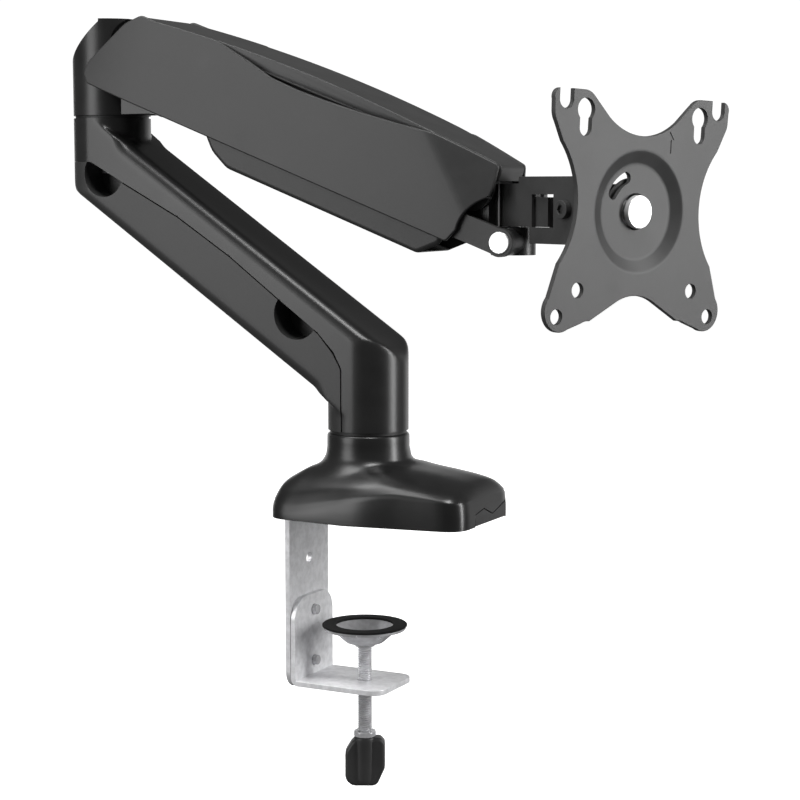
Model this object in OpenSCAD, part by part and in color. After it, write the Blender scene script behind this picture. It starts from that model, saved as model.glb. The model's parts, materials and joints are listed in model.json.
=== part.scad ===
// Desk-clamped monitor arm with a gas-sprung upper arm and a 75/100 mm display plate.
// Origin: on the post axis, at the desk surface. +X runs inward over the desk, +Z up.

/* [Desk clamp] */
// Width of the clamp plates
clamp_w = 43; // [38:1:45]
// Thickness of the clamp plates
clamp_t = 3; // [2.5:0.5:4]
// Front face of the back plate, which bears on the desk edge
edge_x = -37; // [-37.4:0.2:-36.4]
// Gap under the base with the pad as shown
jaw_gap = 60; // [56:1:62]
// Radius of the clamp pad
pad_r = 23.2; // [20:0.2:25]
// Nominal radius of the M8 clamp screw
screw_r = 4; // [3.5:0.5:4.5]
// Screw axis, measured from the post axis
screw_x = -2.5; // [-4:0.5:2]

/* [Base] */
// Front end of the base cover
base_front = 70; // [66:1:74]
// Rear end of the base cover
base_rear = -43.6; // [-46:0.2:-43]
// Half width of the base cover at its widest
base_half_w = 39.6; // [36:0.2:42]
// Height of the groove between base and lower arm
groove_z = 46; // [44:1:50]
// Radius of the post
post_r = 13; // [11:0.5:13.5]

/* [Lower arm] */
// Radius of the tube ends, and half the arm's width
tube_r = 21.7; // [21:0.1:22.5]
// Horizontal distance between the two upright axes
reach = 164; // [160:1:168]
// Slope of the straight middle, degrees
arm_slope = 34; // [33:0.5:35]
// Height of the top face where it passes x = -60
top_at_60 = 145.5; // [144:0.5:147]
// Depth of the section, square to the slope
arm_depth = 42.4; // [41:0.2:44]
// Height of the joint between lower arm and elbow
elbow_z = 215; // [213:1:218]

/* [Upper arm] */
// Pitch of the upper arm below horizontal as shown
pitch = 20.9; // [20:0.1:22]
// Distance between its two main pivots
span = 215; // [213:1:217]
// Height of the lift pivot
lift_z = 254.2; // [253:0.2:256]
// Lift pivot, measured from the post axis
lift_x = -132.9; // [-134:0.1:-131]
// Half width over the side covers
cover_y = 27; // [26.8:0.1:28]
// Wall of the moulded covers
wall = 2.2; // [1.8:0.1:2.4]

/* [Head] */
// Swivel axis, measured from the post axis
head_x = 85.5; // [84.5:0.5:86]
// Turn of the head about its swivel axis as shown
head_yaw = -25.5; // [-40:0.5:40]
// Swivel axis to tilt axis
tilt_reach = 46.3; // [45:0.1:48]
// Height of the tilt axis
tilt_z = 165.6; // [165:0.1:166]
// Forward tip of the plate as shown
plate_tip = 1; // [0:0.5:3]
// Roll of the plate as shown
plate_roll = -2.2; // [-4:0.2:4]
// Tilt axis to the front of the plate
plate_reach = 43.7; // [42:0.1:46]

/* [Display plate] */
// Thickness of the plate
plate_t = 2.6; // [2:0.1:3]
// Radius of the mounting holes
hole_r = 3.7; // [2.5:0.1:4]
// Depth of the pressed dish
dish_depth = 2.9; // [2:0.1:4]

/* [Hidden] */
$fn = 64;
fit = 0.04;          // radial clearance of a running fit
gap = 0.3;           // clearance between covers
link_vec = [19, -28.8];   // upper to lower pivot, the same at both ends of the parallelogram
head_pin = [lift_x + span * cos(pitch), lift_z - span * sin(pitch)];
cheek_in = 9;        // elbow cheeks, inner and outer face
cheek_out = 14.4;
web_in = 14.9;       // upper arm channel walls
web_out = 16.7;
belly_in = 16.7;
belly_out = 19;
link_in = 19.6;
link_out = 23.8;
pin_lift_r = 5;
pin_head_r = 4;
pin_rear_r = 3.5;
pin_front_r = 5.6;
pin_spring_r = 3;
swivel_r = 4;
flange_pcr = 16.4;   // post screws, distance from the axis
arm_z0 = groove_z + 1.2;   // foot of the lower arm
socket_z = 191;      // foot of the elbow socket
boss_p = [70, 150];   // cover screws, in the upper arm's frame
boss_q = -3;
boss_top = 156.2;    // top of the head's lug
barrel_top = 178.4;  // top of the bracket's barrel
lug_r = 10.5;
lug_foot = 142;      // underside of the head's lug
spring_q = -24.9;    // gas spring axis in the upper arm's frame
leg_top = -91;       // top of the clamp jaw's leg
hole_pitch = 28.5;
first_hole_z = -26.5;
hub_r = 8;

BLACK = [0.09, 0.09, 0.09];
SATIN = [0.14, 0.14, 0.145];
ZINC = [0.75, 0.76, 0.78];
STEEL = [0.6, 0.61, 0.63];
NYLON = [0.12, 0.12, 0.12];

// ---- helpers ----
function arc(cx, cy, r, a0, a1, n = 8) =
    [for (i = [0:n]) let (a = a0 + (a1 - a0) * i / n) [cx + r * cos(a), cy + r * sin(a)]];
function flip_x(pts) = [for (i = [len(pts) - 1:-1:0]) [-pts[i][0], pts[i][1]]];
function flip_y(pts) = [for (i = [len(pts) - 1:-1:0]) [pts[i][0], -pts[i][1]]];

// profile drawn in X-Z, extruded along Y from y0 to y1
module xz(y0, y1) translate([0, y1, 0]) rotate([90, 0, 0]) linear_extrude(y1 - y0) children();
module tube(r1, r2, h) difference() { cylinder(r = r1, h = h);
    translate([0, 0, -1]) cylinder(r = r2, h = h + 2); }
// round bar along Y from y0 to y1
module bar_y(r, y0, y1) translate([0, y0, 0]) rotate([-90, 0, 0]) cylinder(r = r, h = y1 - y0);
module arm_frame() translate([lift_x, 0, lift_z]) rotate([0, pitch, 0]) children();
module head_frame() translate([head_x, 0, 0]) rotate([0, 0, head_yaw]) children();
module tilt_frame() head_frame() translate([tilt_reach, 0, tilt_z])
    rotate([0, plate_tip, 0]) children();
// origin at the centre of the plate's front face, +X out of the plate
module plate_frame() tilt_frame() translate([plate_reach, 0, 0])
    rotate([plate_roll, 0, 0]) rotate([90, 0, 90]) children();

// ---- base ----
function base_side(i) = concat(
    arc(base_front - 9, 24.5, 9 - i, 0, 62),
    arc(4, base_half_w - 120, 120 - i, 70, 105, 10),
    arc(base_rear + 12, 26.5, 12 - i, 112, 180));
module base_outline(i) polygon(concat(base_side(i), flip_y(base_side(i))));
module slab(z, pts) translate([0, 0, z]) linear_extrude(0.5) polygon(pts);
module base_form(i) union() {
    hull() {
        translate([0, 0, 1]) linear_extrude(7) base_outline(i);
        // the nose has a taller upright face than the tail
        slab(15.5 - i, [[26, -34 + i], [26, 34 - i], [base_front - 8, 32 - i],
            [base_front - i, 26], [base_front - i, -26], [base_front - 8, -32 + i]]);
        slab(28.3 - i, arc(3, 0, 24 - i, 15, 345, 12));
        slab(23.5 - i, [[60, -15], [60, 15], [64 - i, 10], [64 - i, -10]]);
        slab(12 - i, [[base_rear + i, -22], [base_rear + i, 22], [-34, 26], [-34, -26]]);
        slab(25.5 - i, [[-31 + i, -10], [-31 + i, 10], [-24, 15], [-24, -15]]);
    }
    // flared neck under the lower arm
    translate([0, 0, 20 - i]) rotate_extrude() polygon(concat(
        [[0, 0], [31.5 - i, 0]], arc(32.2, 17, 9 + i, 240, 180, 6),
        [[22.3 - i, groove_z - 21], [21.9 - i, groove_z - 20.6], [0, groove_z - 20.6]]));
}
module base_cover() color(BLACK) difference() {
    base_form(0);
    translate([0, 0, -2.6]) base_form(2.4);
    translate([0, 0, 30]) cylinder(r = 19, h = 30);
    // slot for the snap-in clip in the nose
    clip_form(0.3, 12);
}
// snap-in clip in the nose: a stepped face and a tongue behind it
module clip_form(i, d) translate([base_front - d / 2, 0, 0]) rotate([90, 0, 90])
    linear_extrude(d) offset(delta = i) polygon([[-13.4, 1.3], [-13.4, 7.4], [-2.6, 9.2],
        [7.6, 5.1], [25, 9.8], [25, 1.3]]);
module base_cable_clip() color(BLACK) union() {
    translate([-1.6, 0, 0]) clip_form(0, 3);
    translate([base_front - 12, -8, 2]) cube([10, 26, 1.6]);
}
module base_plate() color(STEEL) difference() {
    translate([0, 0, 1.6]) linear_extrude(3) polygon([[-34, -31], [-34, 31], [4, 35],
        [56, 27], [56, -27], [4, -35]]);
    for (s = [-1, 1]) translate([-27, 12 * s, 0]) cylinder(r = 3.05, h = 8);
    for (a = [45:90:315]) rotate([0, 0, a]) translate([flange_pcr, 0, 0]) cylinder(r = 1.7, h = 8);
}
module desk_pad() color(BLACK) difference() {
    linear_extrude(1.5) polygon([[-36, -33], [-36, 33], [4, 36.5],
        [60, 28.5], [60, -28.5], [4, -36.5]]);
    for (s = [-1, 1]) translate([-27, 12 * s, -1]) cylinder(r = 4, h = 8);
    for (a = [45:90:315]) rotate([0, 0, a]) translate([flange_pcr, 0, -1]) cylinder(r = 3, h = 8);
}
module post() color(STEEL) difference() {
    union() {
        translate([0, 0, 4.7]) cylinder(r = 20, h = 4);
        translate([0, 0, 8]) cylinder(r = post_r, h = 74);
    }
    translate([0, 0, 60]) cylinder(r = 4, h = 30);
    for (a = [45:90:315]) rotate([0, 0, a]) translate([flange_pcr, 0, 0])
        cylinder(r = 2.05, h = 12);
}
module post_screws() color(ZINC) for (a = [45:90:315]) rotate([0, 0, a])
    translate([flange_pcr, 0, 0]) { translate([0, 0, 1.7]) cylinder(r = 1.65, h = 7.2);
        translate([0, 0, 8.75]) cylinder(r = 2.9, h = 2); }
module post_washer() color(ZINC) translate([0, 0, 82.1]) tube(14.8, 4.2, 2);
module post_bolt() color(ZINC) union() {
    translate([0, 0, 62]) cylinder(r = 3.95, h = 22.2);
    translate([0, 0, 84.15]) cylinder(r = 6.5, h = 5);
}

// ---- desk clamp ----
module plate_holes(r) for (i = [0:2]) translate([edge_x - 20, 0, first_hole_z - hole_pitch * i])
    rotate([0, 90, 0]) cylinder(r = r, h = 60);
module clamp_back_plate() color(ZINC) difference() {
    union() {
        translate([edge_x, 0, 0]) rotate([0, -90, 0]) linear_extrude(clamp_t) polygon(concat(
            [[7.7, clamp_w / 2], [7.7, -clamp_w / 2]],
            arc(-86, -clamp_w / 2 + 10, 10, 270, 180), arc(-86, clamp_w / 2 - 10, 10, 180, 90)));
        translate([edge_x - 1, -clamp_w / 2, 4.7]) cube([17, clamp_w, clamp_t]);
    }
    for (s = [-1, 1]) translate([-27, 12 * s, 0]) cylinder(r = 3.1, h = 9);
    plate_holes(3);
}
module back_plate_screws() color(ZINC) for (s = [-1, 1]) translate([-27, 12 * s, 0]) {
    translate([0, 0, 1.7]) cylinder(r = 3, h = 6.2);
    translate([0, 0, 7.75]) cylinder(r = 4.6, h = 2.6);
}
jaw_back = edge_x;
jaw_top = -46;
module jaw_upright() translate([jaw_back + clamp_t, 0, 0]) rotate([0, -90, 0])
    linear_extrude(clamp_t) polygon(concat(arc(jaw_top - 12, clamp_w / 2 - 12.4, 12, 90, 0),
        arc(jaw_top - 12, -clamp_w / 2 + 12.4, 12, 0, -90),
        [[leg_top - clamp_t, -clamp_w / 2 + 0.4], [leg_top - clamp_t, clamp_w / 2 - 0.4]]));
module clamp_jaw() color(ZINC) difference() {
    union() {
        jaw_upright();
        translate([0, 0, leg_top - clamp_t]) linear_extrude(clamp_t) polygon(concat(
            [[jaw_back + 1, -clamp_w / 2 + 0.4]], arc(9.5, -clamp_w / 2 + 8.4, 8, -90, 0),
            arc(9.5, clamp_w / 2 - 8.4, 8, 0, 90), [[jaw_back + 1, clamp_w / 2 - 0.4]]));
    }
    // rounded outside of the bend
    difference() {
        translate([jaw_back - 1, -30, leg_top - clamp_t - 1]) cube([5, 60, 5]);
        translate([jaw_back + 4, 0, leg_top - clamp_t + 4]) bar_y(4, -40, 40);
    }
    plate_holes(3);
    translate([screw_x, 0, leg_top - 10]) cylinder(r = screw_r + fit, h = 20);
}
module jaw_screws() color(ZINC) for (i = [1:2])
    translate([edge_x - clamp_t, 0, first_hole_z - hole_pitch * i]) rotate([0, 90, 0]) {
        translate([0, 0, -2.65]) cylinder(r = 4.8, h = 2.6);
        translate([0, 0, -0.1]) cylinder(r = 2.7, h = 2 * clamp_t + 2.6);
    }
pad_top = -jaw_gap;
module clamp_pad() color(ZINC) translate([screw_x, 0, pad_top]) difference() {
    rotate_extrude() polygon([[0, -10.4], [8, -10.4], [11, -9.4], [17, -4], [pad_r - 0.8, -2.8],
        [pad_r - 0.8, -1.2], [15.8, -1.2], [9.6, -7.6], [7.4, -8.4], [0, -8.4]]);
    translate([0, 0, -20]) cylinder(r = screw_r + fit, h = 20);
}
module clamp_pad_ring() color(BLACK) translate([screw_x, 0, pad_top]) rotate_extrude()
    polygon([[15.6, -1.2], [pad_r - 0.6, -1.2], [pad_r, -0.8], [pad_r, 0], [15.6, 0]]);
module clamp_screw() color(ZINC) translate([screw_x, 0, 0]) union() {
    translate([0, 0, -133.9]) cylinder(r = screw_r, h = 133.9 + pad_top - 8);
    // riveted head that keeps the pad on the screw
    translate([0, 0, pad_top - 8.3]) cylinder(r = 5.6, h = 1.6);
    translate([0, 0, pad_top - 12.4]) cylinder(r = 5.6, h = 1.9);
}
module screw_collar() color(ZINC) translate([screw_x, 0, -122.6]) tube(6, screw_r + 0.02, 3);
module clamp_knob() color(BLACK) translate([screw_x, 0, -150]) difference() {
    union() {
        rotate([0, 0, 27]) xz(-4.2, 4.2) polygon(concat(arc(-6, 5, 5, 180, 270),
            arc(5, 6, 6, 270, 360), arc(5, 20, 6, 0, 70), arc(-6, 16, 5, 110, 180)));
        cylinder(r = 6.2, h = 27.4);
    }
    translate([0, 0, 16]) cylinder(r = screw_r + 0.02, h = 20);
}

// ---- lower arm ----
function top_z(x, i) = top_at_60 - (x + 60) * tan(arm_slope) - i / cos(arm_slope);
function under_z(x, i) = top_z(x, 0) - (arm_depth - i) / cos(arm_slope);
// fillet arc of radius r in the corner where the slope meets an upright line at x
function bend(x, z, r, side) = let (t = r * tan((90 - arm_slope) / 2))
    arc(x - side * r, z - t, r, side > 0 ? 0 : 180,
        side > 0 ? 90 - arm_slope : 270 - arm_slope, 8);
function bend_in(x, z, r, side) = let (t = r * tan((90 - arm_slope) / 2))
    arc(x + side * r, z + t, r, side > 0 ? 180 : 0,
        side > 0 ? 270 - arm_slope : 90 - arm_slope, 6);
function reverse(p) = [for (i = [len(p) - 1:-1:0]) p[i]];
module arm_outline(i, z0, z1) polygon(concat(
    [[-tube_r + i, z0], [tube_r - i, z0]],
    bend(tube_r - i, top_z(tube_r - i, i), 15 - i, 1),
    reverse(bend_in(-reach + tube_r - i, top_z(-reach + tube_r - i, i), 8 + i, 1)),
    [[-reach + tube_r - i, z1], [-reach - tube_r + i, z1]],
    bend(-reach - tube_r + i, under_z(-reach - tube_r + i, i), 20 - i, -1),
    reverse(bend_in(-tube_r + i, under_z(-tube_r + i, i), 6 + i, -1))));
module arm_solid(i, z0, z1) intersection() {
    xz(-tube_r + i, tube_r - i) arm_outline(i, z0, z1);
    translate([0, 0, z0 - 1]) linear_extrude(z1 - z0 + 2) union() {
        circle(r = tube_r - i);
        translate([-reach, 0]) circle(r = tube_r - i);
        translate([-reach, -tube_r + i]) square([reach, 2 * (tube_r - i)]);
    }
}
// seam between the shell and its cable cover, on the straight stretch
function seam_z(x) = 139.6 - (x + 73.5) * 0.65;
// region of the clip-on cable cover, seen from the side
module cover_region(i) polygon([[-4.7 - i, groove_z + 1], [-4.7 - i, 81], [-9.6 - i, 90 - i],
    [-18.8, 99.7 - i], [-42, 116.4 - i], [-73.5, 139.6 - i], [-106.6, 160.6 - i],
    [-142.3, 179 - i], [-164, 190.6 - i], [-164, 191 - i], [-200, 191 - i], [-200, 120], [-30, 20],
    [-30, groove_z + 1]]);
module cable_openings() {
    // half-moon cable outlets cut into the cover's upper edge
    translate([-155.5, 184]) circle(r = 13);
    translate([-32.2, 109]) circle(r = 13.5);
}
module lower_arm_shell() color(SATIN) difference() {
    union() {
        difference() {
            arm_solid(0, arm_z0, elbow_z);
            arm_solid(3, arm_z0 - 5, elbow_z + 5);
            xz(-30, 30) cover_region(0);
        }
        // boss round the post, closed over its bolt
        intersection() {
            arm_solid(2.9, arm_z0, elbow_z);
            translate([0, 0, arm_z0]) cylinder(r = 19, h = 48);
        }
        translate([-reach, 0, socket_z]) cylinder(r = 19, h = elbow_z - socket_z);
    }
    translate([0, 0, 40]) cylinder(r = 15.44, h = 49.6);
    translate([-reach, 0, socket_z - 1]) cylinder(r = 14.44, h = 40);
}
// tongue of the cable cover that tucks inside the shell's wall
module cover_tongue(x) intersection() {
    union() {
        xz(16.6, 18.6) translate([x, 0]) square([18, 200]);
        xz(16.6, 19.6) intersection() { translate([x, 0]) square([18, 200]); cover_region(gap); }
    }
    xz(0, 30) polygon([[x, seam_z(x) - 8], [x + 18, seam_z(x + 18) - 8],
        [x + 18, seam_z(x + 18) + 4], [x, seam_z(x) + 4]]);
}
module lower_cable_cover() color(BLACK) union() {
    difference() {
        intersection() {
            arm_solid(0, arm_z0 + 0.6, socket_z);
            xz(-30, 30) cover_region(gap);
        }
        arm_solid(2.4, arm_z0 - 5, elbow_z);
        xz(-30, 30) intersection() { cable_openings(); cover_region(0); }
    }
    for (x = [-118, -72]) for (s = [0, 1]) mirror([0, s, 0]) cover_tongue(x);
}
module base_thrust_ring() color(NYLON) translate([0, 0, groove_z - 0.5]) tube(20.6, post_r + 0.3, 1.6);
module base_bush_lower() color(NYLON) translate([0, 0, groove_z + 1.3])
    tube(15.4, post_r + fit, 13);
module base_bush_upper() color(NYLON) translate([0, 0, 68]) tube(15.4, post_r + fit, 13.9);
module elbow_socket_bush() color(NYLON) translate([-reach, 0, socket_z + 0.1])
    tube(14.4, 11 + fit, elbow_z - socket_z - 0.2);

// ---- elbow ----
module elbow_spindle() color(STEEL) translate([-reach, 0, socket_z - 0.4]) difference() {
    cylinder(r = 11, h = elbow_z - socket_z + 14);
    translate([0, 0, -1]) cylinder(r = 4, h = 20);
}
module elbow_washer() color(ZINC) translate([-reach, 0, socket_z - 2.5]) tube(13.6, 4.2, 2);
module elbow_bolt() color(ZINC) translate([-reach, 0, socket_z - 6.7]) union() {
    cylinder(r = 6.5, h = 4.1);
    translate([0, 0, 4]) cylinder(r = 3.95, h = 20);
}
module elbow_thrust_ring() color(NYLON) translate([-reach, 0, elbow_z + 0.1])
    tube(20.6, 11.3, 1.2);
rear_link = [lift_x + link_vec[0], lift_z + link_vec[1]];
spring_pin = [lift_x + 3, lift_z - 27.8];
module cheek_profile() {
    translate([lift_x, lift_z]) circle(r = 12);
    translate(rear_link) circle(r = 8.5);
    polygon([[-150, 224], [-150, 262], [lift_x - 8, lift_z + 8.9], [lift_x + 10.5, lift_z + 5.6],
        rear_link + [8, 2.6], rear_link + [1, -8.4], [-128, 216.9], [-150, 216.9]]);
}
module elbow_yoke() color(BLACK) difference() {
    union() {
        difference() {
            translate([-reach, 0, elbow_z + 1.4]) cylinder(r = tube_r, h = 53);
            // sloped rear top, and room for the upper arm to swing
            xz(-30, 30) polygon([[-200, 236], [-185.7, 243], [-158, 267.9], [-158, 280],
                [-200, 280]]);
            translate([lift_x, 0, lift_z]) bar_y(19.4, -30, 30);
        }
        xz(-cheek_out, -cheek_in) cheek_profile();
        xz(cheek_in, cheek_out) cheek_profile();
        translate([-reach, 0, elbow_z + 1.4]) cylinder(r = 15, h = 14);
    }
    translate([-reach, 0, elbow_z]) cylinder(r = 11.03, h = 14.4);
    translate([lift_x, 0, lift_z]) bar_y(pin_lift_r + 0.02, -30, 30);
    translate([rear_link[0], 0, rear_link[1]]) bar_y(pin_rear_r + 0.02, -30, 0);
    translate([spring_pin[0], 0, spring_pin[1]]) bar_y(pin_spring_r + 0.02, -30, 30);
}
module lift_pin() color(STEEL) translate([lift_x, 0, lift_z]) bar_y(pin_lift_r, -19.2, 19.2);
module rear_link_pin() color(STEEL) translate([rear_link[0], 0, rear_link[1]])
    bar_y(pin_rear_r, -24.2, -9.2);
module spring_rear_pin() color(STEEL) translate([spring_pin[0], 0, spring_pin[1]])
    bar_y(pin_spring_r, -14.2, 14.2);

// ---- upper arm, drawn in its own frame: X along the arm, Z square to it ----
function crown(p) = 22 - pow(p - 112, 2) / 1950;
front_pin_p = 168;
module channel_side(y0, y1) difference() {
    xz(y0, y1) union() {
        circle(r = 13);
        translate([span, 0]) circle(r = 13);
        polygon([[0, -8], [46, -8], [52, -20.5], [150, -20.5], [158, -31], [178, -31],
            [186, -20.5], [196, -16], [span, -13], [span, 13], [0, 13]]);
    }
    bar_y(pin_lift_r + 0.05, -30, 30);
    translate([span, 0, 0]) bar_y(pin_head_r + 0.02, -30, 30);
    translate([front_pin_p, 0, spring_q]) bar_y(pin_spring_r + 0.02, -30, 30);
    for (p = boss_p) translate([p, 0, boss_q]) bar_y(2, -30, 30);
}
module arm_channel() color(BLACK) arm_frame() union() {
    channel_side(-web_out, -web_in);
    channel_side(web_in, web_out);
    translate([7, -web_out, 11]) cube([span - 20, 2 * web_out, 2]);
}
module side_profile() polygon(concat(
    [[-21.2, -30], [-25.9, -25], [-24.5, -18], [-8, 8.5], [1.5, crown(0) + 1.5]],
    [for (p = [10:12:58]) [p, crown(p)]],
    [[75, 16.2], [91, 13], [108, 12.2], [125, 12.8], [146, 14.2], [170, 16.5]],
    [for (p = [190:10:220]) [p, crown(p)]],
    [[226.3, crown(226)], [227.6, 13], [228.6, 4], [228.6, -2.5]],
    // notch concentric with the link's front pivot
    arc(243, -20.1, 23.6, 128, 188, 10), [[216, -30]]));
// plane that the nose of a side cover leans in to
module nose_plane() translate([185, -cover_y, 19.4]) rotate([-15.5, 0, 14.4]) children();
module side_cover() union() {
    difference() {
        flat_cover();
        nose_plane() translate([-100, -60, -100]) cube([200, 60, 200]);
    }
    intersection() {
        xz(-cover_y, -13) side_profile();
        nose_plane() translate([-6, 0, -60]) cube([80, wall, 90]);
    }
}
module flat_cover() difference() {
    intersection() {
        xz(-cover_y, -cover_y + 7) side_profile();
        translate([0, 0, -60]) linear_extrude(120) union() {
            translate([13.9, -cover_y]) square([240, 8]);
            // the rear end draws in slightly
            polygon(concat(arc(14, -cover_y + 300, 300, 270, 262, 8), [[-28, -18], [14, -18]]));
        }
    }
    translate([0, -18.1, -60]) linear_extrude(120) union() {
        translate([13.9, -cover_y + 18.1 + wall]) square([240, 9]);
        polygon(concat(arc(14, -cover_y + 18.1 + wall + 300, 300, 270, 261.6, 8),
            [[-32, 3], [14, 3]]));
    }
}
module cover_with_bosses() difference() {
    union() {
        side_cover();
        for (p = boss_p) translate([p, 0, boss_q]) bar_y(4, -cover_y + wall - 0.5, -web_out);
    }
    for (p = boss_p) translate([p, 0, boss_q]) bar_y(1.55, -cover_y + wall + 1, -web_out + 1);
}
module near_side_cover() color(SATIN) arm_frame() cover_with_bosses();
module far_side_cover() color(SATIN) arm_frame() mirror([0, 1, 0]) cover_with_bosses();
module top_cover() color(BLACK) arm_frame() difference() {
    intersection() {
        xz(-24.5, 24.5) polygon(concat([for (p = [0:12:216]) [p, crown(p)]],
            [[224, crown(224)], [226.2, 14.8], [227.4, 12.8], [227.4, 7], [225.4, 7], [224.4, 11.8],
             [220, 13], [0, 13]]));
        // narrows towards the nose with the side covers
        linear_extrude(60) polygon([[-5, -24.5], [183, -24.5], [227.5, -14.5], [227.5, 14.5],
            [183, 24.5], [-5, 24.5]]);
    }
    for (y = [[-22.4, -16.5], [-14.9, 14.9], [16.5, 22.4]]) xz(y[0], y[1])
        polygon(concat([for (p = [8:12:212]) [p, crown(p) - 2]],
            [[220, 12.5], [219, 12], [3, 12], [3, crown(3) - 2]]));
}
belly_end = 210;
module belly_side(i) polygon(concat([[55 + i, -13]], [[55 + i, -30]],
    arc(73 + i / 2, -28, 18 - i / 2, 190, 238, 6), [[76, -43.4 + i], [199.5, -43.4 + i],
    [belly_end, -34], [belly_end + 0.6, -13]]));
module belly_cover() color(BLACK) arm_frame() difference() {
    xz(-belly_out, belly_out) belly_side(0);
    xz(-belly_in, belly_in) union() {
        belly_side(2);
        polygon([[60, -20], [230, -20], [230, 0], [60, 0]]);
        polygon([[190, -41.4], [230, -41.4], [230, -10], [190, -10]]);
        // open tail for the spring's rod
        polygon([[50, -33], [62, -33], [62, 0], [50, 0]]);
    }
}
module cover_screws() color(ZINC) arm_frame() for (s = [0, 1]) for (p = boss_p)
    translate([p, 0, boss_q]) mirror([0, s, 0]) union() {
        bar_y(1.5, web_in - 1, 23);
        bar_y(3.2, web_in - 1.7, web_in);
    }
module gas_cylinder() color(BLACK) arm_frame() translate([0, 0, spring_q]) difference() {
    union() {
        translate([74, 0, 0]) rotate([0, 90, 0]) cylinder(r = 9, h = 82);
        translate([155, 0, 0]) rotate([0, 90, 0]) cylinder(r = 4, h = 8);
        translate([front_pin_p, 0, 0]) bar_y(6.5, -5, 5);
    }
    translate([73, 0, 0]) rotate([0, 90, 0]) cylinder(r = 4 + fit, h = 70);
    translate([front_pin_p, 0, 0]) bar_y(pin_spring_r + 0.02, -10, 10);
}
module spring_front_pin() color(STEEL) arm_frame() translate([front_pin_p, 0, spring_q])
    bar_y(pin_spring_r, -web_out + 0.1, web_out - 0.1);
module head_pivot_pin() color(STEEL) arm_frame() translate([span, 0, 0])
    bar_y(pin_head_r, -18.4, 18.4);
module gas_rod() color(ZINC) arm_frame() union() {
    translate([19, 0, spring_q]) rotate([0, 90, 0]) cylinder(r = 4, h = 92);
    difference() {
        translate([4.7, -6, spring_q - 9.5]) cube([15, 12, 16.5]);
        // upright slot for the rear pin, which is the opened pivot of the linkage
        xz(-10, 10) union() {
            translate([12.7, spring_q - 3.2]) circle(r = 3.4);
            translate([12.7, spring_q + 0.6]) circle(r = 3.4);
            translate([9.3, spring_q - 3.2]) square([6.8, 3.8]);
        }
    }
}
module lower_link() color(BLACK) arm_frame() difference() {
    xz(-link_out, -link_in) union() {
        translate([28, -20.1]) circle(r = 6.6);
        translate([28 + span, -20.1]) circle(r = 7.2);
        polygon([[28, -26.7], [28 + span, -26.8], [28 + span, -13.4], [28, -13.5]]);
    }
    translate([28.02, 0, -20.13]) bar_y(pin_rear_r + 0.06, -30, 0);
    // opened pivot, with clearance on the front pin
    translate([28 + span, 0, -20.1]) bar_y(pin_front_r + 0.25, -30, 0);
}

// ---- head ----
front_link = [head_pin[0] + link_vec[0], head_pin[1] + link_vec[1]];
module head_block() color(BLACK) difference() {
    union() {
        xz(-cheek_out, cheek_out) union() {
            translate(head_pin) circle(r = 9.6);
            polygon([[59, 172], [60.5, 164], [71, 153.5], [77, 153.5], [77, 176], [71, 178.4],
                head_pin + [0, 4], head_pin + [-9, 0]]);
        }
        xz(-lug_r, lug_r) polygon([[70, 154.5], [76.5, 148], [76.5, lug_foot], [head_x, lug_foot],
            [head_x, boss_top], [70, boss_top]]);
        translate([head_x, 0, lug_foot]) cylinder(r = lug_r, h = boss_top - lug_foot);
        translate([front_link[0], 0, front_link[1]]) bar_y(6.7, -19.2, 0);
    }
    translate([head_x, 0, 100]) cylinder(r = swivel_r + 0.02, h = 100);
    // room for the bracket's barrel
    translate([head_x, 0, boss_top]) cylinder(r = 9, h = 40);
    translate([head_pin[0], 0, head_pin[1]]) bar_y(pin_head_r + fit, -30, 30);
    translate([front_link[0], 0, front_link[1]]) bar_y(pin_front_r + 0.02, -30, -9);
}
module front_link_pin() color(ZINC) translate([front_link[0], 0, front_link[1]])
    bar_y(pin_front_r, -24.4, -9.2);
module swivel_pin() color(STEEL) translate([head_x, 0, lug_foot + 0.4])
    cylinder(r = swivel_r, h = barrel_top - lug_foot - 0.8);
cheek_y = 8;
cheek_t = 2.5;
// side of the folded bracket; low edge steps up to clear the link's front end
module bracket_cheek(window_p, window_end) difference() {
    polygon(concat([[0, 156.7], [19.8, 156.7], [19.8, 148.4]],
        arc(51.5, 153.4, 5, 270, 360, 4), arc(51.5, 176.9, 5, 0, 90, 4),
        [[11.6, 181.9], [11.6, barrel_top], [0, barrel_top]]));
    translate([window_p, 156.6]) square([window_end - window_p, 16.4]);
}
module swivel_bracket() color(BLACK) head_frame() difference() {
    union() {
        xz(-cheek_y, -cheek_y + cheek_t) bracket_cheek(21.6, 37.6);
        xz(cheek_y - cheek_t, cheek_y) bracket_cheek(15.5, 36);
        translate([0, 0, 156.7]) cylinder(r = cheek_y, h = barrel_top - 156.7);
        translate([0, -5.6, 156.7]) cube([31, 11.2, 14.8]);
        translate([11.6, -cheek_y, 156.7]) cube([cheek_t, 2 * cheek_y, 25.2]);
    }
    translate([0, 0, 100]) cylinder(r = swivel_r + fit, h = 100);
    translate([tilt_reach, 0, tilt_z]) bar_y(3.02, -20, 20);
}
module tilt_bolt() color(STEEL) head_frame() translate([tilt_reach, 0, tilt_z]) difference() {
    union() {
        bar_y(3, -cheek_y - 0.1, cheek_y + 5);
        bar_y(4.6, -cheek_y - 3.4, -cheek_y - 0.05);
    }
    translate([0, -cheek_y - 4, 0]) rotate([-90, 0, 0]) cylinder(r = 2.3, h = 2.4, $fn = 6);
}
module tilt_nut() color(ZINC) head_frame() translate([tilt_reach, cheek_y + 0.05, tilt_z])
    difference() {
        rotate([-90, 0, 0]) cylinder(r = 5.6, h = 4.6, $fn = 6);
        bar_y(3.03, -2, 10);
    }
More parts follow.
